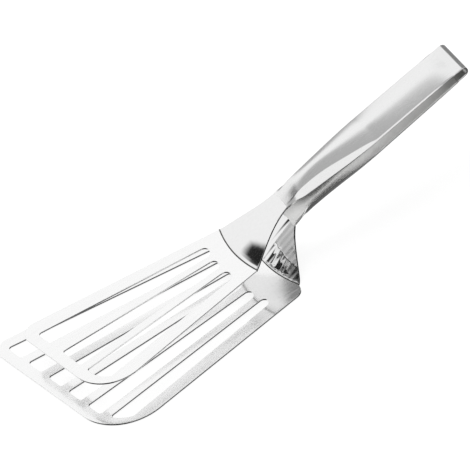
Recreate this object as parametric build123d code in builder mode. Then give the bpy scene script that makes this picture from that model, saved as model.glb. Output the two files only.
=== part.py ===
from build123d import *
from math import atan, atan2, cos, hypot, radians, sin, sqrt, tan
import os

# Spatula tongs of stainless sheet: two slotted blades, each on a flared shank and a long arm,
# joined by a spring bow at the grip end. The origin lies under the lower blade's plain steel,
# +X runs along the middle plane towards the bow, +Z points up. Lengths in millimetres.

# The sheet that every piece is pressed from, and how far cutting shapes run past it
sheet = 1.0
overrun = 5.0

# Press creases between blade and shank: arcs that bulge towards the tips
crease_radius = 74.3
lower_crease_x = 8.2
upper_crease_x = -5.4
lower_crease_half = 29.2
upper_crease_half = 21.1
jaw_gap = 17.3
upper_tilt_angle = 0.8

# Lower blade
lower_length = 135.8
lower_shoulder = 5.9
lower_side_angle = 8.5
lower_tip_angle = 9.8
lower_near_radius = 31.0
lower_far_radius = 8.0
lower_shoulder_radius = 6.0

# Upper blade
upper_length = 112.1
upper_side_angle = 8.9
upper_tip_angle = 9.4
upper_near_radius = 24.0
upper_far_radius = 8.0

# Fan slots: inner and outer edge, at the root and at the tip, as shares of the half-width that
# the border leaves there. Each slot beside the middle plane has its mirror image.
border = 6.5
lower_root_land = 17.4
upper_root_land = 9.6
slot_corner_radius = 1.6
slot_round_share = 0.47
lower_slot_shares = (
    ((0.073, 0.226), (0.061, 0.291)),
    ((0.373, 0.586), (0.412, 0.643)),
    ((0.732, 0.932), (0.764, 0.994)),
)
upper_slot_shares = (
    ((-0.224, 0.224), (-0.256, 0.256)),
    ((0.484, 0.956), (0.433, 0.921)),
)

# Neck, where shank and arm meet
neck_x = 30.3
neck_half = 7.2
neck_spread = 8.0
middle_neck_z = 26.1
upper_shank_bulge = 1.0
lower_shank_bulge = 0.7
upper_waist_x = 24.9
upper_waist_share = 0.98
lower_flare_hollow = 0.9

# Spring bow
bow_x = 148.5
bow_z = 53.0
bow_outer_radius = 3.15
bow_leg = 4.5

# Arms: arched grip, then a waist whose sides are folded towards the other arm
grip_half = 12.2
shoulder_x = 89.5
grip_ridge_half = 6.0
grip_flank_angle = 15.0
shoulder_spread = 4.65

middle_slope = (bow_z - middle_neck_z) / (bow_x - neck_x)
waist_length = shoulder_x - neck_x
grip_length = bow_x - bow_leg - shoulder_x
bow_spread = bow_outer_radius * sqrt(1 + middle_slope ** 2)

# Waist sections from neck to shoulder: place along the waist, rim half-width and fold half-width
# as shares of the grip's half-width, then rim, fold and ridge heights as shares of neck_spread
waist_shares = (
    (0.000, 0.590, 0.43, 0.99, 1.00, 1.03),
    (0.125, 0.630, 0.47, 0.78, 1.25, 1.35),
    (0.250, 0.685, 0.48, 0.61, 1.29, 1.45),
    (0.375, 0.740, 0.51, 0.57, 1.29, 1.54),
    (0.500, 0.805, 0.58, 0.56, 1.23, 1.52),
    (0.625, 0.875, 0.67, 0.55, 1.13, 1.42),
    (0.750, 0.935, 0.76, 0.55, 1.02, 1.31),
    (0.875, 0.980, 0.84, 0.56, 0.90, 1.19),
    (1.000, 1.000, 0.92, 0.57, 0.74, 1.05),
)
# How far the lower arm is bent up towards the upper one at these sections, as shares of neck_spread
lower_lift_shares = (0.0, 0.23, 0.35, 0.37, 0.36, 0.32, 0.25, 0.21, 0.18)
# Grip sections from shoulder to bow: place along the grip, how far the arch has faded
grip_shares = ((0.0, 1.5), (0.25, 1.12), (0.5, 1.0), (0.75, 0.65), (1.0, 0.06))


def sagitta(half):
    return crease_radius - sqrt(crease_radius ** 2 - half ** 2)


def tip_corner(side, root_x, root_half, length, side_slope, tip_slope, inset):
    """Corner between a blade's side and its slanted tip, with both edges moved inwards by inset."""
    half = root_half - inset * sqrt(1 + side_slope ** 2)
    reach = length - inset * sqrt(1 + tip_slope ** 2)
    y = (half + side_slope * (root_x + reach)) / (1 - side * side_slope * tip_slope)
    return (-reach - side * tip_slope * y, side * y)


def fan_slot(jaw, field, root_land, root_edges, tip_edges, tip_x):
    """One slot that widens towards the tip: round at its root, ending along the blade's border."""
    inner_root, outer_root = root_edges
    start_x = sagitta((inner_root + outer_root) / 2) - root_land
    end_x = tip_x - 3 * border

    def edge(x, side):
        place = (x + root_land) / (tip_x + root_land)
        return root_edges[side] + (tip_edges[side] - root_edges[side]) * place

    ends = [(end_x, edge(end_x, 0)), (start_x, edge(start_x, 0))]
    ends += [(start_x, edge(start_x, 1)), (end_x, edge(end_x, 1))]
    with BuildSketch(jaw) as slot:
        with BuildLine():
            FilletPolyline(*ends, radius=(outer_root - inner_root) * slot_round_share)
            Line(ends[3], ends[0])
        make_face()
        add(field, mode=Mode.INTERSECT)
        offset(amount=-slot_corner_radius, mode=Mode.REPLACE)
        offset(amount=slot_corner_radius, kind=Kind.ARC, mode=Mode.REPLACE)
    return slot.sketch


def blade_solid(jaw, crease_half, shoulder, length, angles, radii, root_land, slot_shares):
    """Flat blade: crease arc behind, splayed sides, a slanted tip and a fan of slots."""
    near_radius, far_radius, shoulder_radius = radii
    side_slope, tip_slope = [tan(radians(angle)) for angle in angles]
    root_x = sagitta(crease_half)
    root_half = crease_half + shoulder
    slot_tip_x = 2 * border - length
    border_half = root_half + side_slope * root_x - border * sqrt(1 + side_slope ** 2)
    root_field = border_half + side_slope * root_land
    tip_field = border_half - side_slope * slot_tip_x
    corner = [root_x, root_half, length, side_slope, tip_slope]
    far_tip = tip_corner(1, *corner, 0)
    near_tip = tip_corner(-1, *corner, 0)
    far_end = (root_x, crease_half)
    near_end = (root_x, -crease_half)
    if shoulder:
        points = [far_end, (root_x, root_half), far_tip, near_tip, (root_x, -root_half), near_end]
        rounds = [shoulder_radius, far_radius, near_radius, shoulder_radius]
    else:
        points = [far_end, far_tip, near_tip, near_end]
        rounds = [far_radius, near_radius]
    far_inset = tip_corner(1, *corner, border)
    near_inset = tip_corner(-1, *corner, border)
    with BuildSketch(jaw) as field:
        with BuildLine():
            ends = [(0, far_inset[1]), far_inset, near_inset, (0, near_inset[1])]
            FilletPolyline(*ends, radius=[far_radius - border, near_radius - border])
            Line(ends[3], ends[0])
        make_face()
    with BuildPart() as blade:
        with BuildSketch(jaw):
            with BuildLine():
                FilletPolyline(*points, radius=rounds)
                ThreePointArc(near_end, (0, 0), far_end)
            make_face()
        extrude(amount=sheet)
        for root_shares, tip_shares in slot_shares:
            root_edges = [share * root_field for share in root_shares]
            tip_edges = [share * tip_field for share in tip_shares]
            add(fan_slot(jaw, field.sketch_local, root_land, root_edges, tip_edges, slot_tip_x))
            if root_shares[0] > 0:
                root_mirror = [-edge for edge in reversed(root_edges)]
                tip_mirror = [-edge for edge in reversed(tip_edges)]
                add(fan_slot(
                    jaw, field.sketch_local, root_land, root_mirror, tip_mirror, slot_tip_x
                ))
            extrude(amount=overrun, both=True, mode=Mode.SUBTRACT)
    return blade.part


lower_jaw = Plane(origin=(lower_crease_x, 0, 0))
tilt = radians(upper_tilt_angle)
upper_jaw = Plane(
    origin=(upper_crease_x, 0, sheet + jaw_gap),
    x_dir=(cos(tilt), 0, sin(tilt)),
    z_dir=(-sin(tilt), 0, cos(tilt)),
)

lower_blade = blade_solid(
    lower_jaw, lower_crease_half, lower_shoulder, lower_length,
    (lower_side_angle, lower_tip_angle),
    (lower_near_radius, lower_far_radius, lower_shoulder_radius),
    lower_root_land, lower_slot_shares,
)
upper_blade = blade_solid(
    upper_jaw, upper_crease_half, 0, upper_length,
    (upper_side_angle, upper_tip_angle),
    (upper_near_radius, upper_far_radius, 0),
    upper_root_land, upper_slot_shares,
)


def shank_solid(jaw, neck_top_z, bulge, plan):
    """Flared sheet that climbs from the crease arc to the neck, turned about the arc's centre."""
    neck = jaw.to_local_coords(Vector(neck_x, 0, neck_top_z))
    chord = hypot(neck.X, neck.Z - sheet)
    rise_angle = atan2(neck.Z - sheet, neck.X)
    half_turn = 2 * atan(2 * bulge / chord)
    start_angle = rise_angle + half_turn
    end_angle = rise_angle - half_turn

    def skin(x, z, angle, depth):
        return (x + depth * sin(angle), z - depth * cos(angle))

    middle = (neck.X / 2 - bulge * sin(rise_angle), (neck.Z + sheet) / 2 + bulge * cos(rise_angle))
    past = (neck.X + overrun * cos(end_angle), neck.Z + overrun * sin(end_angle))
    side_view = Plane(origin=jaw.origin, x_dir=jaw.x_dir, z_dir=(0, -1, 0))
    axis = Axis(jaw.from_local_coords(Vector(crease_radius, 0, 0)), jaw.z_dir)
    with BuildPart() as shank:
        with BuildSketch(side_view):
            with BuildLine():
                ThreePointArc((0, sheet), middle, (neck.X, neck.Z))
                Line((neck.X, neck.Z), past)
                Line(past, skin(*past, end_angle, sheet))
                Line(skin(*past, end_angle, sheet), skin(neck.X, neck.Z, end_angle, sheet))
                ThreePointArc(
                    skin(neck.X, neck.Z, end_angle, sheet),
                    skin(*middle, rise_angle, sheet),
                    skin(0, sheet, start_angle, sheet),
                )
                Line(skin(0, sheet, start_angle, sheet), (sheet * tan(start_angle / 2), 0))
                Line((sheet * tan(start_angle / 2), 0), (0, 0))
                Line((0, 0), (0, sheet))
            make_face()
        revolve(axis=axis)
        with BuildSketch(Plane.XY.offset(-overrun)):
            add(plan)
        extrude(amount=bow_z + overrun, mode=Mode.INTERSECT)
    return shank.part


lower_crease_end = lower_crease_x + sagitta(lower_crease_half)
upper_crease_end = upper_crease_x + sagitta(upper_crease_half)
lower_flare_middle = ((neck_x + lower_crease_end) / 2, (neck_half + lower_crease_half) / 2)
flare_angle = atan2(lower_crease_half - neck_half, neck_x - lower_crease_end)
upper_flare_angle = atan2(upper_crease_half - neck_half, upper_waist_x - upper_crease_end)
upper_waist_radius = upper_waist_share * (neck_x - upper_waist_x) / tan(upper_flare_angle / 2)

with BuildSketch() as upper_plan:
    with BuildLine():
        FilletPolyline(
            (neck_x, neck_half), (upper_waist_x, neck_half), (upper_crease_end, upper_crease_half),
            radius=upper_waist_radius,
        )
        Polyline(
            (upper_crease_end, upper_crease_half), (upper_crease_x - overrun, upper_crease_half),
            (upper_crease_x - overrun, 0), (neck_x, 0), (neck_x, neck_half),
        )
    make_face()
    mirror(about=Plane.XZ)

with BuildSketch() as lower_plan:
    with BuildLine():
        ThreePointArc(
            (neck_x, neck_half),
            (
                lower_flare_middle[0] - lower_flare_hollow * sin(flare_angle),
                lower_flare_middle[1] - lower_flare_hollow * cos(flare_angle),
            ),
            (lower_crease_end, lower_crease_half),
        )
        Polyline(
            (lower_crease_end, lower_crease_half), (lower_crease_x - overrun, lower_crease_half),
            (lower_crease_x - overrun, 0), (neck_x, 0), (neck_x, neck_half),
        )
    make_face()
    mirror(about=Plane.XZ)

upper_shank = shank_solid(upper_jaw, middle_neck_z + neck_spread, upper_shank_bulge, upper_plan.sketch)
lower_shank = shank_solid(
    lower_jaw, middle_neck_z - neck_spread + sheet, lower_shank_bulge, lower_plan.sketch
)


def arm_section(x, side, rim_half, fold_half, rim, fold, ridge):
    """Cross-section of an arm: a ridge between two folds, and a flank from each fold to its rim.

    rim, fold and ridge are heights of the outer skin from the middle line between the arms."""
    base = bow_z - middle_slope * (bow_x - x)
    flank_angle = atan2(fold - rim, rim_half - fold_half)
    inner_rim = (rim_half - sheet * sin(flank_angle), rim - sheet * cos(flank_angle))
    inner_fold = (fold_half - sheet * tan(flank_angle / 2), fold - sheet)
    outer = [(rim_half, rim), (fold_half, fold), (0, ridge), (-fold_half, fold), (-rim_half, rim)]
    inner = [inner_rim, inner_fold, (0, ridge - sheet)]
    inner += [(-inner_fold[0], inner_fold[1]), (-inner_rim[0], inner_rim[1])]
    outer = [(y, base + side * height) for y, height in outer]
    inner = [(y, base + side * height) for y, height in inner]
    with BuildSketch(Plane.YZ.offset(x)) as section:
        with BuildLine():
            Line(outer[0], outer[1])
            ThreePointArc(outer[1], outer[2], outer[3])
            Line(outer[3], outer[4])
            Line(outer[4], inner[4])
            Line(inner[4], inner[3])
            ThreePointArc(inner[3], inner[2], inner[1])
            Line(inner[1], inner[0])
            Line(inner[0], outer[0])
        make_face()
    return section.sketch


def arm_solid(side, lift_shares):
    """An arm from neck to bow: folded waist, then arched grip. side is 1 above and -1 below."""
    shoulder_lift = lift_shares[-1] * neck_spread
    with BuildPart() as arm:
        for (place, rim_half, fold_half, *heights), lift in zip(waist_shares, lift_shares):
            rim, fold, ridge = [(height - lift) * neck_spread for height in heights]
            add(arm_section(
                neck_x + place * waist_length, side, rim_half * grip_half, fold_half * grip_half,
                rim, fold, ridge,
            ))
        loft()
        for place, arch in grip_shares:
            flank_angle = radians(grip_flank_angle) * arch
            rim = shoulder_spread + place * (bow_spread - shoulder_spread)
            rim -= shoulder_lift * (1 - place)
            fold = rim + (grip_half - grip_ridge_half) * tan(flank_angle)
            ridge = fold + grip_ridge_half * tan(flank_angle / 2)
            add(arm_section(
                shoulder_x + place * grip_length, side, grip_half, grip_ridge_half, rim, fold, ridge
            ))
        loft()
    return arm.part


upper_arm = arm_solid(1, [0] * len(lower_lift_shares))
lower_arm = arm_solid(-1, lower_lift_shares)

middle_tilt = atan(middle_slope)
bow_plane = Plane(
    origin=(bow_x, 0, bow_z), x_dir=(cos(middle_tilt), 0, sin(middle_tilt)), z_dir=(0, -1, 0)
)
bow_inner_radius = bow_outer_radius - sheet
leg_reach = bow_leg + overrun
with BuildPart() as spring_bow:
    with BuildSketch(bow_plane):
        Circle(bow_outer_radius)
        with Locations((-leg_reach / 2, 0)):
            Rectangle(leg_reach, 2 * bow_outer_radius)
        Circle(bow_inner_radius, mode=Mode.SUBTRACT)
        with Locations((-leg_reach / 2, 0)):
            Rectangle(leg_reach, 2 * bow_inner_radius, mode=Mode.SUBTRACT)
    extrude(amount=grip_half, both=True)
    split(bisect_by=Plane.YZ.offset(bow_x - bow_leg), keep=Keep.TOP)

pieces = {
    "lower_blade": lower_blade,
    "lower_shank": lower_shank,
    "lower_arm": lower_arm,
    "spring_bow": spring_bow.part,
    "upper_arm": upper_arm,
    "upper_shank": upper_shank,
    "upper_blade": upper_blade,
}
os.makedirs("parts", exist_ok=True)
for name, piece in pieces.items():
    piece.label = name
    export_step(piece, f"parts/{name}.step")
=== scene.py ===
import math

import bmesh
import bpy
from mathutils import Matrix, Vector


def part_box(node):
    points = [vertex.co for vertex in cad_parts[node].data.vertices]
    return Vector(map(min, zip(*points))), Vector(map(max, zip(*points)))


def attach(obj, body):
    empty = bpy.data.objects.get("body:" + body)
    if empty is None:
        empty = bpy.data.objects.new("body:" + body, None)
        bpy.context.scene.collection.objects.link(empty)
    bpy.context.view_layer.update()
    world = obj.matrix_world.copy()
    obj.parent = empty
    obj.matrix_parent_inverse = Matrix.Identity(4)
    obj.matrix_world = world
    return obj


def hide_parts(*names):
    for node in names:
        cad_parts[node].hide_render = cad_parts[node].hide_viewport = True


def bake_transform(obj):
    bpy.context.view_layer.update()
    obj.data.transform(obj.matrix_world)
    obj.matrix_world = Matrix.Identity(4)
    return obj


bl_info = {
    "name": "Barbecue Tongs",
    "version": (1, 0, 0),
    "blender": (4, 5, 0),
    "location": "View3D > Sidebar > Tongs",
    "description": "Dresses the packed sheet-steel spatula tongs and sets up their studio",
    "category": "Object",
}

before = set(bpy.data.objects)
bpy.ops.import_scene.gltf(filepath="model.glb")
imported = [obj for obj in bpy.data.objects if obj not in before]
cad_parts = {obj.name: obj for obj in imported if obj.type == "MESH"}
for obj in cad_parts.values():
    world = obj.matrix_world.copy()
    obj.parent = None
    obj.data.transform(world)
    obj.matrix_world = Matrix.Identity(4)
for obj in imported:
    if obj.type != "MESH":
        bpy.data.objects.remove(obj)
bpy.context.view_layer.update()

LOWER = "lower_half"
UPPER = "upper_half"
MM = 0.001
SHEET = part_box("lower_blade")[1].z
GRIP_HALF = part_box("spring_bow")[1].y
NECK_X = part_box("lower_arm")[0].x
BOW_LEG_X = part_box("lower_arm")[1].x

# Waist of an arm, from neck to shoulder: place, half-widths of rim and fold as shares of the
# grip's half-width, heights of rim, fold and ridge as shares of the neck's height, and how far
# the lower arm is bent up towards the upper one there
WAIST_SHARES = (
    (0.000, 0.590, 0.43, 0.99, 1.00, 1.03, 0.00),
    (0.070, 0.610, 0.46, 0.94, 1.08, 1.13, 0.12),
    (0.120, 0.625, 0.47, 0.87, 1.17, 1.23, 0.21),
    (0.165, 0.640, 0.47, 0.67, 1.25, 1.33, 0.27),
    (0.200, 0.655, 0.47, 0.62, 1.27, 1.39, 0.31),
    (0.260, 0.690, 0.48, 0.60, 1.29, 1.46, 0.35),
    (0.375, 0.740, 0.51, 0.57, 1.29, 1.54, 0.37),
    (0.500, 0.805, 0.58, 0.56, 1.23, 1.52, 0.36),
    (0.625, 0.875, 0.67, 0.55, 1.13, 1.42, 0.32),
    (0.750, 0.935, 0.76, 0.55, 1.02, 1.31, 0.25),
    (0.875, 0.980, 0.84, 0.56, 0.90, 1.19, 0.21),
    (0.960, 1.000, 0.90, 0.57, 0.79, 1.10, 0.18),
)
# Grip, from shoulder to bow: place, and height of the arch as a share of its height in mid grip
GRIP_SHARES = (
    (0.0, 1.5), (0.04, 1.45), (0.12, 1.3), (0.25, 1.12), (0.5, 1.0),
    (0.7, 0.95), (0.85, 0.75), (0.94, 0.3), (1.0, 0.0),
)
# Half-width of the grip's arch as a share of the grip's half-width
GRIP_FOLD_SHARE = 0.95
# Places across one side of an arm's top, as shares of the way from ridge to fold, and across the
# flank from fold to rim
CROWN_SHARES = (0.25, 0.5, 0.75, 0.93)
FLANK_SHARES = (0.12, 0.5, 0.82, 0.88)
# Where a flank has reached the rim's half-width: below it hangs a short upright lip
LIP_SHARE = 0.86
# Power of the curve across an arm's top: 2 is a round crown, 1 a roof
WAIST_CROWN_POWER = 1.8
GRIP_CROWN_POWER = 1.5
# Half-width of the flares from crease to neck at even steps, in millimetres
UPPER_FLARE_MM = (21.1, 18.8, 16.6, 14.4, 12.35, 10.5, 8.95, 7.85, 7.2)
LOWER_FLARE_MM = (29.2, 27.0, 24.0, 20.8, 17.6, 14.5, 11.6, 9.2, 7.2)
# Places across a flare, as shares of its half-width there
FLARE_SHARES = (-1, -0.8, -0.55, -0.28, 0, 0.28, 0.55, 0.8, 1)
# Places along a flare's press bend and the ridge behind it, as shares of the bend's length, and
# where the even steps towards the neck may begin
BEND_SHARES = (0, 1 / 3, 2 / 3, 1, 1.5, 2)
BEND_CLEAR_SHARE = 2.4
# Press ripples on the lower flare: spacing in millimetres, and turn away from the strip's length
RIPPLE_MM = 3.4
RIPPLE_TURN = math.radians(17)
# Length in metres of one wave that a Wave Texture draws at a scale of 1
WAVE_LENGTH = 0.314

# Edges sharper than this are cut edges, and get rounded
CUT_EDGE_ANGLE = math.radians(60)
# Faces that meet at more than this are shaded with a sharp edge
SMOOTH_ANGLE = math.radians(50)
# How far from an end plane or a crease an edge may lie and still count as on it. A shank's are
# moved a little by the smoothing
END_SLACK = 0.05 * MM
BLADE_CREASE_SLACK = 0.1 * MM
SHANK_CREASE_SLACK = 0.6 * MM

# A blade's loose triangles: points closer than this are one, and faces flatter than this are one
SEAM_GAP = 0.002 * MM
FLAT_ANGLE = math.radians(0.5)

# Outer and inner skin of the arms and the bow, and the inner skin's place in the list
STRIP_STEELS = ("satin stainless steel", "dull rolled stainless steel with painted shade")
INNER_SLOT = 1
# Place of the crease lines' steel, darkened with painted shade, in the list of a shank's steels
CREASE_SHADE_SLOT = 1
# How much the steel's colour varies with its grain, as a share of how much its gloss does
SHADE_SHARE = 1 / 6

# Parts of the light tent. Each is a soft step along a direction: where it starts and ends, and
# the light's level before and after it
ROOF_DIRECTION = (-0.15, -0.1, 0.98)
ROOF = (0.69, 0.86, 1.0, 0.48)
GROUND_RISE = (-0.3, 0.02, 0.11, 1.0)
GROUND_BACK = (0.3, 0.6, 0.11, 1.0)
SKIRTING_TOP = (0.12, 0.32, 0.4, 1.0)
SKIRTING_FOOT = (-0.6, -0.5, 1.0, 0.4)
SKIRTING_BACK = (0.78, 0.88, 1.0, 0.0)
BLADE_END = (-0.47, -0.435, 0.0, 1.0)
CORNER_DIRECTION = (1.0, 1.0, -0.6)
BLADE_END_CORNER = (-0.24, -0.12, 0.02, 1.0)
GRIP_END = (0.5, 0.6, 1.0, 0.0)
GRIP_END_BACK = (0.0, 0.4, 0.02, 1.0)

# Grey flags in the light tent: side and centre in millimetres, and their light level
FLAGS_MM = {
    "grip_flag": (160, (195, 100, 80)),
    "waist_flag": (34, (60, 35, 18)),
    "blade_flag": (24, (46, 24, 14)),
}
FLAG_LEVEL = 0.23
# The floor lies this far below the tongs, so that it never cuts their underside
FLOOR_DROP = 0.2 * MM
# Shares of the floor's brightness that come from the lamps and from its own glow
FLOOR_PAPER_SHARE = 0.3
FLOOR_GLOW_SHARE = 0.85
SENSOR_MM = 36.0


def length(name, description, default):
    return bpy.props.FloatProperty(
        name=name, description=description, default=default, unit="LENGTH", min=0.0
    )


def angle(name, description, degrees):
    return bpy.props.FloatProperty(
        name=name, description=description, default=math.radians(degrees), unit="ROTATION"
    )


def place(name, description, default):
    return bpy.props.FloatVectorProperty(
        name=name, description=description, default=default, size=3, subtype="TRANSLATION", unit="LENGTH"
    )


def gloss(name, description, default):
    return bpy.props.FloatProperty(
        name=name, description=description, default=default, min=0.0, max=1.0, subtype="FACTOR"
    )


def colour(name, description, hex_value):
    return bpy.props.FloatVectorProperty(
        name=name, description=description, default=linear(hex_value), size=3, subtype="COLOR",
        min=0.0, max=1.0,
    )


def linear(hex_value):
    """Linear red, green and blue of an sRGB hex value."""
    parts = [int(hex_value[i:i + 2], 16) / 255 for i in (1, 3, 5)]
    return tuple(c / 12.92 if c <= 0.04045 else ((c + 0.055) / 1.055) ** 2.4 for c in parts)


class TongsSizes(bpy.types.PropertyGroup):
    """Sizes of the strip and its bends."""

    blade_edge: length("Blade edge", "Rounding of the blades' cut edges", 0.15 * MM)
    shank_edge: length("Shank edge", "Rounding of the shanks' cut edges", 0.06 * MM)
    arm_edge: length("Arm edge", "Rounding of the tumbled edges of arms and bow", 0.42 * MM)
    bend: length("Press bend", "Length of the bend at a crease", 2.2 * MM)
    crease_ridge: length("Crease ridge", "Height of the faint ridge that the press leaves", 0.10 * MM)
    # The crease line is a band of painted shade along each crease
    crease_shade_line: length("Crease line", "Width of the darker line in a crease", 0.75 * MM)
    crease_radius: length("Crease radius", "Radius of the curved creases", 74.3 * MM)
    lower_bulge: length("Lower bulge", "Height of the lower flare's bulge above a straight slope", 0.7 * MM)
    upper_bulge: length("Upper bulge", "Height of the upper flare's bulge above a straight slope", 1.0 * MM)
    neck_spread: length("Neck spread", "Height from the middle line to an arm's skin at the neck", 8.0 * MM)
    shoulder_spread: length("Shoulder spread", "Height of an arm's rim at the shoulder", 4.65 * MM)
    grip_arch: length("Grip arch", "Height of the grip's arch above its rims in mid grip", 2.45 * MM)
    grip_fold: length("Grip fold", "Height of the fold beside the arch above the rim", 0.9 * MM)
    bow_radius: length("Bow radius", "Outer radius of the spring bow", 3.15 * MM)
    middle_neck_z: length("Middle line", "Height of the line between the arms at the neck", 26.1 * MM)
    bow_x: length("Bow centre X", "Place of the bow's centre", 148.5 * MM)
    bow_z: length("Bow centre Z", "Height of the bow's centre", 53.0 * MM)
    shoulder_x: length("Shoulder", "Where the waist meets the grip", 89.5 * MM)
    lower_crease_x: length("Lower crease", "Place of the lower crease", 8.2 * MM)
    upper_crease_set_back: length("Upper crease", "Distance from the upper crease to the origin", 5.4 * MM)
    jaw_gap: length("Jaw gap", "Height between the blades at rest", 17.3 * MM)
    upper_tilt: angle("Upper tilt", "Slope of the upper blade", 0.8)


class TongsFinish(bpy.types.PropertyGroup):
    """Colours and gloss of the steel."""

    blade_tint: colour("Blade steel", "Bright rolled sheet of the blades", "#FBFBFB")
    polish_tint: colour("Polished steel", "Polished sheet of the flares", "#F0F0F0")
    satin_tint: colour("Satin steel", "Satin sheet of the arms and the bow", "#F2F2F2")
    # Painted shade: the dark colour of the crease lines stands in for the shade in the creases
    crease_shade_tint: colour("Crease line", "Darker steel in the crease lines", "#5C5C5A")
    # Partly painted shade: the inner skin's greyer colour also stands in for the shade between the arms
    inner_shade_tint: colour("Inner steel", "As-rolled inner skin of the arms and the bow", "#E6E6E5")
    blade_roughness: gloss("Blade roughness", "Gloss of the blades", 0.14)
    polish_roughness: gloss("Polish roughness", "Gloss of the flares", 0.05)
    satin_roughness: gloss("Satin roughness", "Gloss of the arms", 0.24)
    crease_roughness: gloss("Crease roughness", "Gloss of the crease lines", 0.3)
    inner_roughness: gloss("Inner roughness", "Gloss inside the arms", 0.35)


class TongsStudio(bpy.types.PropertyGroup):
    """Camera, floor and light."""

    azimuth: angle("Azimuth", "Camera's angle round the tongs", -14.39)
    elevation: angle("Elevation", "Camera's angle above the floor", 43.92)
    roll: angle("Roll", "Camera's turn about its own axis", -22.41)
    target: place("Target", "Point in the middle of the picture", (0.00184, 0.00915, 0.021))
    picture_width: length("Picture width", "Width that the picture spans at the target", 254.2 * MM)
    distance: length("Camera distance", "Distance from target to camera", 6.0)
    sight: length("Sight", "How far the camera sees", 100.0)
    floor_size: length("Floor size", "Side of the square floor", 40.0)
    floor_tint: colour("Floor", "Colour of the floor", "#F2F2F2")
    lamp_size: length("Lamp size", "Side of the square soft box", 0.8)
    lamp_place: place("Lamp place", "Centre of the soft box", (0.0, 0.5, 1.0))
    lamp_tilt: angle("Lamp tilt", "Turn of the soft box towards the tongs", -26)
    lamp_power: bpy.props.FloatProperty(
        name="Lamp power", description="Power of the soft box", default=6.0, unit="POWER", min=0.0
    )


def add_node(tree, kind, settings=None, inputs=None):
    """Adds a node, sets its properties, and sets or links its inputs."""
    node = tree.nodes.new(kind)
    for name, value in (settings or {}).items():
        setattr(node, name, value)
    for name, value in (inputs or {}).items():
        if isinstance(value, bpy.types.NodeSocket):
            tree.links.new(value, node.inputs[name])
        else:
            node.inputs[name].default_value = value
    return node


def new_material(name):
    """An empty node material and its tree."""
    material = bpy.data.materials.new(name)
    material.use_nodes = True
    material.node_tree.nodes.clear()
    return material, material.node_tree


def ripples(tree, place_on_piece, height_mm, under):
    """Normals of long ripples that the press has left, laid over the normals under them."""
    turned = add_node(
        tree, "ShaderNodeMapping",
        inputs={"Vector": place_on_piece, "Rotation": (0, 0, RIPPLE_TURN), "Scale": (1, 1, 0)},
    )
    wave = add_node(
        tree, "ShaderNodeTexWave", {"bands_direction": "Y"},
        {
            "Vector": turned.outputs["Vector"], "Scale": WAVE_LENGTH / (RIPPLE_MM * MM),
            "Distortion": 2.0, "Detail": 1.0, "Detail Scale": 0.35,
        },
    )
    return add_node(
        tree, "ShaderNodeBump",
        inputs={"Height": wave.outputs["Fac"], "Distance": height_mm * MM, "Strength": 1.0, "Normal": under},
    ).outputs["Normal"]


def steel(name, tint, roughness, grain_mm, stretch, variation, wave_mm, wave_height_mm, ripple_height_mm=0):
    """Metal whose gloss and colour vary with a grain stretched along the strip, over shallow waves.

    The variation is the share by which the gloss changes. Ripples run along the strip."""
    material, tree = new_material(name)
    place_on_piece = add_node(tree, "ShaderNodeTexCoord").outputs["Object"]
    grain_map = add_node(
        tree, "ShaderNodeMapping", inputs={"Vector": place_on_piece, "Scale": (1 / stretch, 1.0, 1.0)}
    )
    grain = add_node(
        tree, "ShaderNodeTexNoise",
        inputs={
            "Vector": grain_map.outputs["Vector"], "Scale": 1 / (grain_mm * MM),
            "Detail": 3.0, "Roughness": 0.6,
        },
    )
    sheen = add_node(
        tree, "ShaderNodeMapRange",
        inputs={
            "Value": grain.outputs["Fac"], "From Min": 0.25, "From Max": 0.75,
            "To Min": roughness * (1 - variation), "To Max": roughness * (1 + variation),
        },
    )
    shade = add_node(
        tree, "ShaderNodeMapRange",
        inputs={
            "Value": grain.outputs["Fac"], "From Min": 0.2, "From Max": 0.8,
            "To Min": 1 - variation * SHADE_SHARE, "To Max": 1.0,
        },
    )
    tinted = add_node(
        tree, "ShaderNodeVectorMath", {"operation": "SCALE"}, {0: tint, "Scale": shade.outputs["Result"]}
    )
    waves = add_node(
        tree, "ShaderNodeTexNoise",
        inputs={"Vector": place_on_piece, "Scale": 1 / (wave_mm * MM), "Detail": 1.0},
    )
    normal = add_node(
        tree, "ShaderNodeBump",
        inputs={"Height": waves.outputs["Fac"], "Distance": wave_height_mm * MM, "Strength": 1.0},
    ).outputs["Normal"]
    if ripple_height_mm:
        normal = ripples(tree, place_on_piece, ripple_height_mm, normal)
    surface = add_node(
        tree, "ShaderNodeBsdfPrincipled",
        inputs={
            "Base Color": tinted.outputs["Vector"], "Metallic": 1.0,
            "Roughness": sheen.outputs["Result"], "Normal": normal,
        },
    )
    add_node(tree, "ShaderNodeOutputMaterial", inputs={"Surface": surface.outputs["BSDF"]})
    return material


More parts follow.
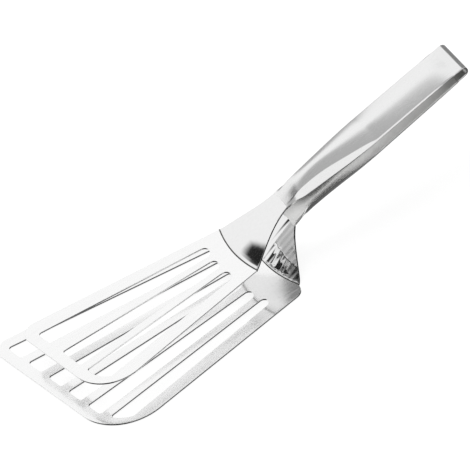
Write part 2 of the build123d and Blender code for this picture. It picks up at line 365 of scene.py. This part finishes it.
def finish_materials(finish):
    """The six steel finishes, made once."""
    if "bright rolled stainless steel" in bpy.data.materials:
        return
    # Stainless sheet, cold rolled bright: reflects like a slightly hazy mirror, with faint rolling marks
    steel(
        "bright rolled stainless steel", finish.blade_tint[:], finish.blade_roughness,
        grain_mm=1.2, stretch=12, variation=0.35, wave_mm=38, wave_height_mm=0.02,
    )
    # Stainless sheet, pressed and buffed: a sharp mirror that the press has left slightly wavy
    polish = {"grain_mm": 1.0, "stretch": 4, "variation": 0.3, "wave_mm": 9, "wave_height_mm": 0.03}
    steel("polished stainless steel", finish.polish_tint[:], finish.polish_roughness, **polish)
    # The same on the lower flare, where the press has also left ripples that run along the strip
    steel(
        "rippled polished stainless steel", finish.polish_tint[:], finish.polish_roughness,
        **polish, ripple_height_mm=0.032,
    )
    # Stainless sheet, satin ground along the strip: soft blurred reflections with a fine lengthwise grain
    steel(
        "satin stainless steel", finish.satin_tint[:], finish.satin_roughness,
        grain_mm=0.5, stretch=30, variation=0.25, wave_mm=45, wave_height_mm=0.02,
    )
    # The crease lines: rough steel whose dark colour is painted shade, standing in for the shade in the
    # press creases
    steel(
        "crease steel with painted shade", finish.crease_shade_tint[:], finish.crease_roughness,
        grain_mm=0.5, stretch=4, variation=0.2, wave_mm=9, wave_height_mm=0.02,
    )
    # Stainless sheet as rolled, not ground: the duller inner skin of arms and bow, its greyer colour partly
    # the rolled sheet's own and partly painted shade between the arms
    steel(
        "dull rolled stainless steel with painted shade", finish.inner_shade_tint[:], finish.inner_roughness,
        grain_mm=0.4, stretch=20, variation=0.2, wave_mm=45, wave_height_mm=0.02,
    )


def new_piece(name, bm, steels, body, node):
    """Makes an object of the mesh, gives it its steels and puts it in the node's place."""
    mesh = bpy.data.meshes.new(name)
    bm.to_mesh(mesh)
    bm.free()
    mesh.shade_smooth()
    mesh.set_sharp_from_angle(angle=SMOOTH_ANGLE)
    for steel_name in steels:
        mesh.materials.append(bpy.data.materials[steel_name])
    piece = bpy.data.objects.new(name, mesh)
    bpy.context.scene.collection.objects.link(piece)
    normals = piece.modifiers.new("even normals", "WEIGHTED_NORMAL")
    normals.weight = 100
    normals.keep_sharp = True
    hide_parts(node)
    if body:
        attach(piece, body)
    return piece


def on_end(x):
    """Test for edges that lie in the end plane at x."""
    def test(edge):
        return all(abs(vert.co.x - x) < END_SLACK for vert in edge.verts)
    return test


def on_crease(centre_x, radius, slack):
    """Test for edges that lie on a curved crease, which a blade and a shank share."""
    def test(edge):
        gaps = [abs(math.hypot(vert.co.x - centre_x, vert.co.y) - radius) for vert in edge.verts]
        return max(gaps) < slack
    return test


def round_cut_edges(bm, edge_round, segments, joints):
    """Rounds the cut edges, apart from those where a piece joins its neighbour."""
    sharp = [
        edge for edge in bm.edges
        if len(edge.link_faces) == 2 and edge.calc_face_angle(0) > CUT_EDGE_ANGLE
        and not any(test(edge) for test in joints)
    ]
    bmesh.ops.bevel(
        bm, geom=sharp, offset=edge_round, offset_type="OFFSET", affect="EDGES",
        segments=segments, profile=0.5, material=-1, clamp_overlap=True,
    )


def loft(bm, sections):
    """Skins open rows of points, one after the other."""
    rows = []
    for section in sections:
        verts = [bm.verts.new(point) for point in section]
        rows.append([bm.edges.new(pair) for pair in zip(verts, verts[1:])])
    for before, after in zip(rows, rows[1:]):
        bmesh.ops.bridge_loops(bm, edges=before + after)


def strip_piece(bm, levels, outward, edge_round, joints, inner_slot=0):
    """Smooths an open outer skin, gives it the sheet's thickness and rounds its cut edges.

    outward gives the outer side at a point; joints holds tests for edges that stay sharp;
    inner_slot is the material slot of the inner skin."""
    bmesh.ops.recalc_face_normals(bm, faces=bm.faces)
    if sum(face.normal.dot(outward(face.calc_center_median())) for face in bm.faces) < 0:
        bmesh.ops.reverse_faces(bm, faces=bm.faces)
    mesh = bpy.data.meshes.new("blank")
    bm.to_mesh(mesh)
    for _ in range(inner_slot + 1):
        mesh.materials.append(None)
    blank = bpy.data.objects.new("blank", mesh)
    bpy.context.scene.collection.objects.link(blank)
    smooth = blank.modifiers.new("smooth", "SUBSURF")
    smooth.levels = levels
    smooth.render_levels = levels
    smooth.boundary_smooth = "PRESERVE_CORNERS"
    wall = blank.modifiers.new("sheet", "SOLIDIFY")
    wall.thickness = SHEET
    wall.offset = -1.0
    wall.use_even_offset = True
    wall.material_offset = inner_slot
    seen = blank.evaluated_get(bpy.context.evaluated_depsgraph_get())
    solid = bmesh.new()
    solid.from_mesh(seen.to_mesh())
    bpy.data.objects.remove(blank)
    bpy.data.meshes.remove(mesh)
    round_cut_edges(solid, edge_round, 3, joints)
    return solid


def middle_slope(sizes):
    """Slope of the line between the arms, from the neck up to the bow."""
    return (sizes.bow_z - sizes.middle_neck_z) / (sizes.bow_x - NECK_X)


def arm_row(sizes, side, x, halves, heights, crown_power):
    """Points across an arm: rim, flank, fold, crown, fold, flank, rim.

    halves are the half-widths of rim and fold, and heights those of rim, fold and ridge."""
    rim_half, fold_half = halves
    rim, fold, ridge = heights
    half_row = [(rim_half, rim)]
    for share in reversed(FLANK_SHARES):
        reach = min(share / LIP_SHARE, 1)
        half_row.append((fold_half + (rim_half - fold_half) * reach, fold + (rim - fold) * share))
    half_row.append((fold_half, fold))
    for share in reversed(CROWN_SHARES):
        half_row.append((share * fold_half, ridge - (ridge - fold) * share ** crown_power))
    row = half_row + [(0, ridge)] + [(-y, height) for y, height in reversed(half_row)]
    middle = sizes.bow_z - middle_slope(sizes) * (sizes.bow_x - x)
    return [Vector((x, y, middle + side * height)) for y, height in row]


def arm_rows(sizes, side):
    """Rows from the neck over the folded waist and the arched grip to the bow."""
    waist_length = sizes.shoulder_x - NECK_X
    grip_length = BOW_LEG_X - sizes.shoulder_x
    bow_spread = sizes.bow_radius * math.hypot(1, middle_slope(sizes))
    rows = []
    for along, rim_half, fold_half, *heights, lift in WAIST_SHARES:
        lower_lift = lift if side < 0 else 0
        rows.append(arm_row(
            sizes, side, NECK_X + along * waist_length, (rim_half * GRIP_HALF, fold_half * GRIP_HALF),
            [(height - lower_lift) * sizes.neck_spread for height in heights], WAIST_CROWN_POWER,
        ))
    shoulder_lift = lower_lift * sizes.neck_spread
    for along, arch in GRIP_SHARES:
        rim = sizes.shoulder_spread + along * (bow_spread - sizes.shoulder_spread)
        rim -= shoulder_lift * (1 - along)
        fold = rim + sizes.grip_fold * min(arch, 1)
        ridge = rim + sizes.grip_arch * arch
        rows.append(arm_row(
            sizes, side, sizes.shoulder_x + along * grip_length, (GRIP_HALF, GRIP_FOLD_SHARE * GRIP_HALF),
            (rim, fold, ridge), GRIP_CROWN_POWER,
        ))
    return rows


class TONGS_OT_arms(bpy.types.Operator):
    """Two arms of folded strip, each with a waist and an arched grip"""

    bl_idname = "tongs.arms"
    bl_label = "Arms"

    def execute(self, context):
        sizes = context.scene.tongs_sizes
        for node, side, body in (("lower_arm", -1, LOWER), ("upper_arm", 1, UPPER)):
            bm = bmesh.new()
            loft(bm, arm_rows(sizes, side))
            solid = strip_piece(
                bm, 2, lambda point: Vector((0, 0, side)), sizes.arm_edge,
                [on_end(NECK_X), on_end(BOW_LEG_X)], INNER_SLOT,
            )
            new_piece(node + "_strip", solid, STRIP_STEELS, body, node)
        return {"FINISHED"}


class TONGS_OT_bow(bpy.types.Operator):
    """U-shaped spring bow at the grip end, which bends as the tongs close"""

    bl_idname = "tongs.bow"
    bl_label = "Spring bow"

    def execute(self, context):
        sizes = context.scene.tongs_sizes
        tilt = math.atan(middle_slope(sizes))
        centre = Vector((sizes.bow_x, 0, sizes.bow_z))
        along = Vector((math.cos(tilt), 0, math.sin(tilt)))
        across = Vector((-math.sin(tilt), 0, math.cos(tilt)))
        bm = bmesh.new()
        top = centre + across * sizes.bow_radius
        side_verts = [bm.verts.new(top + Vector((0, y, 0))) for y in (-GRIP_HALF, 0, GRIP_HALF)]
        start = [bm.edges.new(pair) for pair in zip(side_verts, side_verts[1:])]
        spun = bmesh.ops.spin(
            bm, geom=side_verts + start, cent=centre, axis=(0, 1, 0), angle=math.pi, steps=16,
            use_duplicate=False,
        )
        end = [edge for edge in spun["geom_last"] if isinstance(edge, bmesh.types.BMEdge)]
        for edges in (start, end):
            leg = bmesh.ops.extrude_edge_only(bm, edges=edges)
            for vert in (v for v in leg["geom"] if isinstance(v, bmesh.types.BMVert)):
                reach = (vert.co.x - BOW_LEG_X) / along.x
                vert.co -= along * reach
        solid = strip_piece(
            bm, 1, lambda point: point - centre, sizes.arm_edge, [on_end(BOW_LEG_X)], INNER_SLOT
        )
        bow = new_piece("spring_bow_strip", solid, STRIP_STEELS, None, "spring_bow")
        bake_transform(bow)
        return {"FINISHED"}


def shank_rows(sizes, flare_mm, run, rise, bulge):
    """Rows from the crease arc to the neck, in the blade's own frame, origin at the crease."""
    radius = sizes.crease_radius
    bend = sizes.bend
    slope = (rise + 4 * bulge) / run

    def profile(depth):
        """Height above the blade at a depth behind the crease: press bend, ridge, then the climb."""
        ridge = 0
        if depth < 2 * bend:
            ridge = sizes.crease_ridge * math.sin(math.pi * depth / (2 * bend)) ** 2
        if depth < bend:
            return slope * depth ** 2 / (2 * bend) + ridge
        share = depth / run
        climb = rise * share + 4 * bulge * share * (1 - share)
        return climb + ridge - slope * bend / 2 * (1 - (depth - bend) / (run - bend))

    steps = len(flare_mm) - 1
    crease_end = radius - math.sqrt(radius ** 2 - (flare_mm[0] * MM) ** 2)
    places = [share * bend / run for share in BEND_SHARES]
    places += [step / steps for step in range(1, steps + 1) if step / steps > BEND_CLEAR_SHARE * bend / run]
    rows = []
    for along in places:
        step = min(int(along * steps), steps - 1)
        half = (flare_mm[step] + (flare_mm[step + 1] - flare_mm[step]) * (along * steps - step)) * MM
        edge_x = crease_end + along * (run - crease_end)
        row = []
        for share in FLARE_SHARES:
            y = share * half
            x = along * run + (edge_x - along * run) * share ** 2
            depth = max(radius - math.hypot(radius - x, y), 0)
            row.append(Vector((x, y, profile(depth))))
        rows.append(row)
    return rows


class TONGS_OT_shanks(bpy.types.Operator):
    """Two flared, polished shanks between blade and arm"""

    bl_idname = "tongs.shanks"
    bl_label = "Shanks"

    def execute(self, context):
        sizes = context.scene.tongs_sizes
        tilt = Matrix.Rotation(-sizes.upper_tilt, 4, "Y")
        upper = Matrix.Translation((-sizes.upper_crease_set_back, 0, 2 * SHEET + sizes.jaw_gap)) @ tilt
        lower = Matrix.Translation((sizes.lower_crease_x, 0, SHEET))
        low_neck = sizes.middle_neck_z - sizes.neck_spread + SHEET
        high_neck = sizes.middle_neck_z + sizes.neck_spread
        for node, seat, flare_mm, neck_z, bulge, body, finish in (
            ("lower_shank", lower, LOWER_FLARE_MM, low_neck, sizes.lower_bulge, LOWER,
             "rippled polished stainless steel"),
            ("upper_shank", upper, UPPER_FLARE_MM, high_neck, sizes.upper_bulge, UPPER,
             "polished stainless steel"),
        ):
            neck = seat.inverted() @ Vector((NECK_X, 0, neck_z))
            bm = bmesh.new()
            loft(bm, shank_rows(sizes, flare_mm, neck.x, neck.z, bulge))
            bmesh.ops.transform(bm, matrix=seat, verts=bm.verts)
            centre_x = (seat @ Vector((sizes.crease_radius, 0, 0))).x
            crease = on_crease(centre_x, sizes.crease_radius, SHANK_CREASE_SLACK)
            solid = strip_piece(
                bm, 2, lambda point: Vector((0, 0, 1)), sizes.shank_edge, [on_end(NECK_X), crease]
            )
            # Faces along the crease get the dark steel that paints the crease's shade
            for face in solid.faces:
                middle = face.calc_center_median()
                if sizes.crease_radius - math.hypot(middle.x - centre_x, middle.y) < sizes.crease_shade_line:
                    face.material_index = CREASE_SHADE_SLOT
            steels = [finish, "crease steel with painted shade"]
            new_piece(node + "_flare", solid, steels, body, node)
        return {"FINISHED"}


class TONGS_OT_blades(bpy.types.Operator):
    """Two slotted blades with rounded cut edges"""

    bl_idname = "tongs.blades"
    bl_label = "Blades"

    def execute(self, context):
        sizes = context.scene.tongs_sizes
        for node, crease_x, body in (
            ("lower_blade", sizes.lower_crease_x, LOWER),
            ("upper_blade", -sizes.upper_crease_set_back, UPPER),
        ):
            bm = bmesh.new()
            bm.from_mesh(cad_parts[node].data)
            bmesh.ops.remove_doubles(bm, verts=bm.verts, dist=SEAM_GAP)
            bmesh.ops.dissolve_limit(
                bm, angle_limit=FLAT_ANGLE, verts=bm.verts, edges=bm.edges, use_dissolve_boundaries=False
            )
            crease = on_crease(crease_x + sizes.crease_radius, sizes.crease_radius, BLADE_CREASE_SLACK)
            round_cut_edges(bm, sizes.blade_edge, 2, [crease])
            new_piece(node + "_plate", bm, ["bright rolled stainless steel"], body, node)
        return {"FINISHED"}


def ramp(tree, value, start, end, before, after):
    """A soft step of a value, from one light level to another."""
    step = add_node(
        tree, "ShaderNodeMapRange", {"interpolation_type": "SMOOTHSTEP"},
        {"Value": value, "From Min": start, "From Max": end, "To Min": before, "To Max": after},
    )
    return step.outputs["Result"]


def along_direction(tree, direction, axis):
    """How far the looked-at direction points along an axis."""
    dot = add_node(tree, "ShaderNodeVectorMath", {"operation": "DOT_PRODUCT"}, {0: direction, 1: axis})
    return dot.outputs["Value"]


def join_levels(tree, operation, first, *others):
    """Joins light levels one after the other, by their product or their maximum."""
    for other in others:
        first = add_node(tree, "ShaderNodeMath", {"operation": operation}, {0: first, 1: other}).outputs[0]
    return first


def studio_world():
    """A white backdrop for the camera, and for the steel a long light tent that is dark at both ends."""
    world = bpy.data.worlds.new("light tent")
    bpy.context.scene.world = world
    world.use_nodes = True
    tree = world.node_tree
    tree.nodes.clear()
    direction = add_node(tree, "ShaderNodeTexCoord").outputs["Generated"]
    x, y, z = add_node(tree, "ShaderNodeSeparateXYZ", inputs={"Vector": direction}).outputs
    overhead = along_direction(tree, direction, ROOF_DIRECTION)
    corner = along_direction(tree, direction, CORNER_DIRECTION)
    tent = join_levels(
        tree, "MULTIPLY",
        ramp(tree, overhead, *ROOF),
        join_levels(tree, "MAXIMUM", ramp(tree, z, *GROUND_RISE), ramp(tree, y, *GROUND_BACK)),
        join_levels(
            tree, "MAXIMUM",
            ramp(tree, z, *SKIRTING_TOP), ramp(tree, z, *SKIRTING_FOOT), ramp(tree, y, *SKIRTING_BACK),
        ),
        join_levels(tree, "MAXIMUM", ramp(tree, x, *BLADE_END), ramp(tree, corner, *BLADE_END_CORNER)),
        join_levels(tree, "MAXIMUM", ramp(tree, x, *GRIP_END), ramp(tree, y, *GRIP_END_BACK)),
    )
    path = add_node(tree, "ShaderNodeLightPath")
    seen = add_node(
        tree, "ShaderNodeMix", {"data_type": "FLOAT"},
        {0: path.outputs["Is Camera Ray"], 2: tent, 3: 1.0},
    )
    light = add_node(
        tree, "ShaderNodeBackground", inputs={"Color": (1.0, 1.0, 1.0, 1.0), "Strength": seen.outputs[0]}
    )
    add_node(tree, "ShaderNodeOutputWorld", inputs={"Surface": light.outputs["Background"]})


def studio_sheet(name, side, matrix, material):
    """A flat square of the studio, which isn't part of the tongs."""
    bm = bmesh.new()
    bmesh.ops.create_grid(bm, x_segments=1, y_segments=1, size=side / 2, matrix=matrix)
    mesh = bpy.data.meshes.new(name)
    bm.to_mesh(mesh)
    bm.free()
    mesh.materials.append(material)
    sheet = bpy.data.objects.new(name, mesh)
    bpy.context.scene.collection.objects.link(sheet)
    return sheet


def studio_floor(studio):
    """A pale floor that keeps a faint shadow."""
    material, tree = new_material("matt white studio floor")
    # Matt white paper lit from below: nearly white, with only a breath of shadow
    paper = add_node(
        tree, "ShaderNodeBsdfDiffuse",
        inputs={"Color": (*(FLOOR_PAPER_SHARE * c for c in studio.floor_tint), 1.0)},
    )
    glow = add_node(
        tree, "ShaderNodeEmission", inputs={"Color": (1.0, 1.0, 1.0, 1.0), "Strength": FLOOR_GLOW_SHARE}
    )
    both = add_node(tree, "ShaderNodeAddShader", inputs={0: paper.outputs[0], 1: glow.outputs[0]})
    add_node(tree, "ShaderNodeOutputMaterial", inputs={"Surface": both.outputs[0]})
    seat = Matrix.Translation((0, 0, -FLOOR_DROP))
    floor = studio_sheet("studio_floor", studio.floor_size, seat, material)
    floor.visible_glossy = False


def studio_flags():
    """Upright grey flags behind the grip end, the waist and the lower blade, seen only in the steel."""
    # Grey cloth on a frame, evenly lit
    material, tree = new_material("grey studio flag")
    glow = add_node(
        tree, "ShaderNodeEmission", inputs={"Color": (1.0, 1.0, 1.0, 1.0), "Strength": FLAG_LEVEL}
    )
    add_node(tree, "ShaderNodeOutputMaterial", inputs={"Surface": glow.outputs[0]})
    upright = Matrix.Rotation(math.radians(90), 4, "Y")
    for name, (side, centre) in FLAGS_MM.items():
        flag = studio_sheet(name, side * MM, Matrix.Translation(Vector(centre) * MM) @ upright, material)
        flag.visible_camera = False
        flag.visible_shadow = False
        flag.visible_diffuse = False


def studio_camera(studio):
    """A long lens at the photograph's angle."""
    back = Vector((
        math.sin(studio.azimuth) * math.cos(studio.elevation),
        -math.cos(studio.azimuth) * math.cos(studio.elevation),
        math.sin(studio.elevation),
    ))
    flat_right = Vector((0, 0, 1)).cross(back).normalized()
    flat_up = back.cross(flat_right)
    right = math.cos(studio.roll) * flat_right + math.sin(studio.roll) * flat_up
    up = back.cross(right)
    data = bpy.data.cameras.new("camera")
    data.sensor_width = SENSOR_MM
    data.lens = SENSOR_MM * studio.distance / studio.picture_width
    data.clip_end = studio.sight
    camera = bpy.data.objects.new("camera", data)
    bpy.context.scene.collection.objects.link(camera)
    turn = Matrix((right, up, back)).transposed().to_4x4()
    camera.matrix_world = Matrix.Translation(Vector(studio.target) + back * studio.distance) @ turn
    bpy.context.scene.camera = camera


def studio_lamp(studio):
    """A soft box above the tongs, which the steel doesn't show."""
    data = bpy.data.lights.new("soft_box", "AREA")
    data.shape = "SQUARE"
    data.size = studio.lamp_size
    data.energy = studio.lamp_power
    lamp = bpy.data.objects.new("soft_box", data)
    lamp.location = studio.lamp_place
    lamp.rotation_euler = (studio.lamp_tilt, 0.0, 0.0)
    lamp.visible_glossy = False
    bpy.context.scene.collection.objects.link(lamp)


class TONGS_OT_stage(bpy.types.Operator):
    """Camera, pale floor, grey flags, soft lamp and light tent"""

    bl_idname = "tongs.stage"
    bl_label = "Studio"

    def execute(self, context):
        studio = context.scene.tongs_studio
        studio_camera(studio)
        studio_world()
        studio_floor(studio)
        studio_flags()
        studio_lamp(studio)
        context.scene.view_settings.view_transform = "Standard"
        return {"FINISHED"}


class TONGS_OT_finishes(bpy.types.Operator):
    """Steel finishes of the tongs"""

    bl_idname = "tongs.finishes"
    bl_label = "Finishes"

    def execute(self, context):
        finish_materials(context.scene.tongs_finish)
        return {"FINISHED"}


class TONGS_PT_sidebar(bpy.types.Panel):
    """Sizes, finishes and steps of the tongs"""

    bl_idname = "TONGS_PT_sidebar"
    bl_label = "Barbecue Tongs"
    bl_space_type = "VIEW_3D"
    bl_region_type = "UI"
    bl_category = "Tongs"

    def draw(self, context):
        layout = self.layout
        for group in (context.scene.tongs_sizes, context.scene.tongs_finish, context.scene.tongs_studio):
            box = layout.box()
            for name in group.bl_rna.properties.keys():
                if name not in ("rna_type", "name"):
                    box.prop(group, name)
        for operator in STEPS:
            layout.operator(operator.bl_idname)


GROUPS = {"tongs_sizes": TongsSizes, "tongs_finish": TongsFinish, "tongs_studio": TongsStudio}
STEPS = (TONGS_OT_finishes, TONGS_OT_blades, TONGS_OT_shanks, TONGS_OT_arms, TONGS_OT_bow, TONGS_OT_stage)


def register():
    for name, group in GROUPS.items():
        bpy.utils.register_class(group)
        setattr(bpy.types.Scene, name, bpy.props.PointerProperty(type=group))
    for operator in STEPS:
        bpy.utils.register_class(operator)
    bpy.utils.register_class(TONGS_PT_sidebar)


def unregister():
    bpy.utils.unregister_class(TONGS_PT_sidebar)
    for operator in reversed(STEPS):
        bpy.utils.unregister_class(operator)
    for name, group in GROUPS.items():
        delattr(bpy.types.Scene, name)
        bpy.utils.unregister_class(group)


def main():
    register()
    bpy.ops.tongs.finishes()
    bpy.ops.tongs.blades()
    bpy.ops.tongs.shanks()
    bpy.ops.tongs.arms()
    bpy.ops.tongs.bow()
    bpy.ops.tongs.stage()


if __name__ == "__main__":
    main()
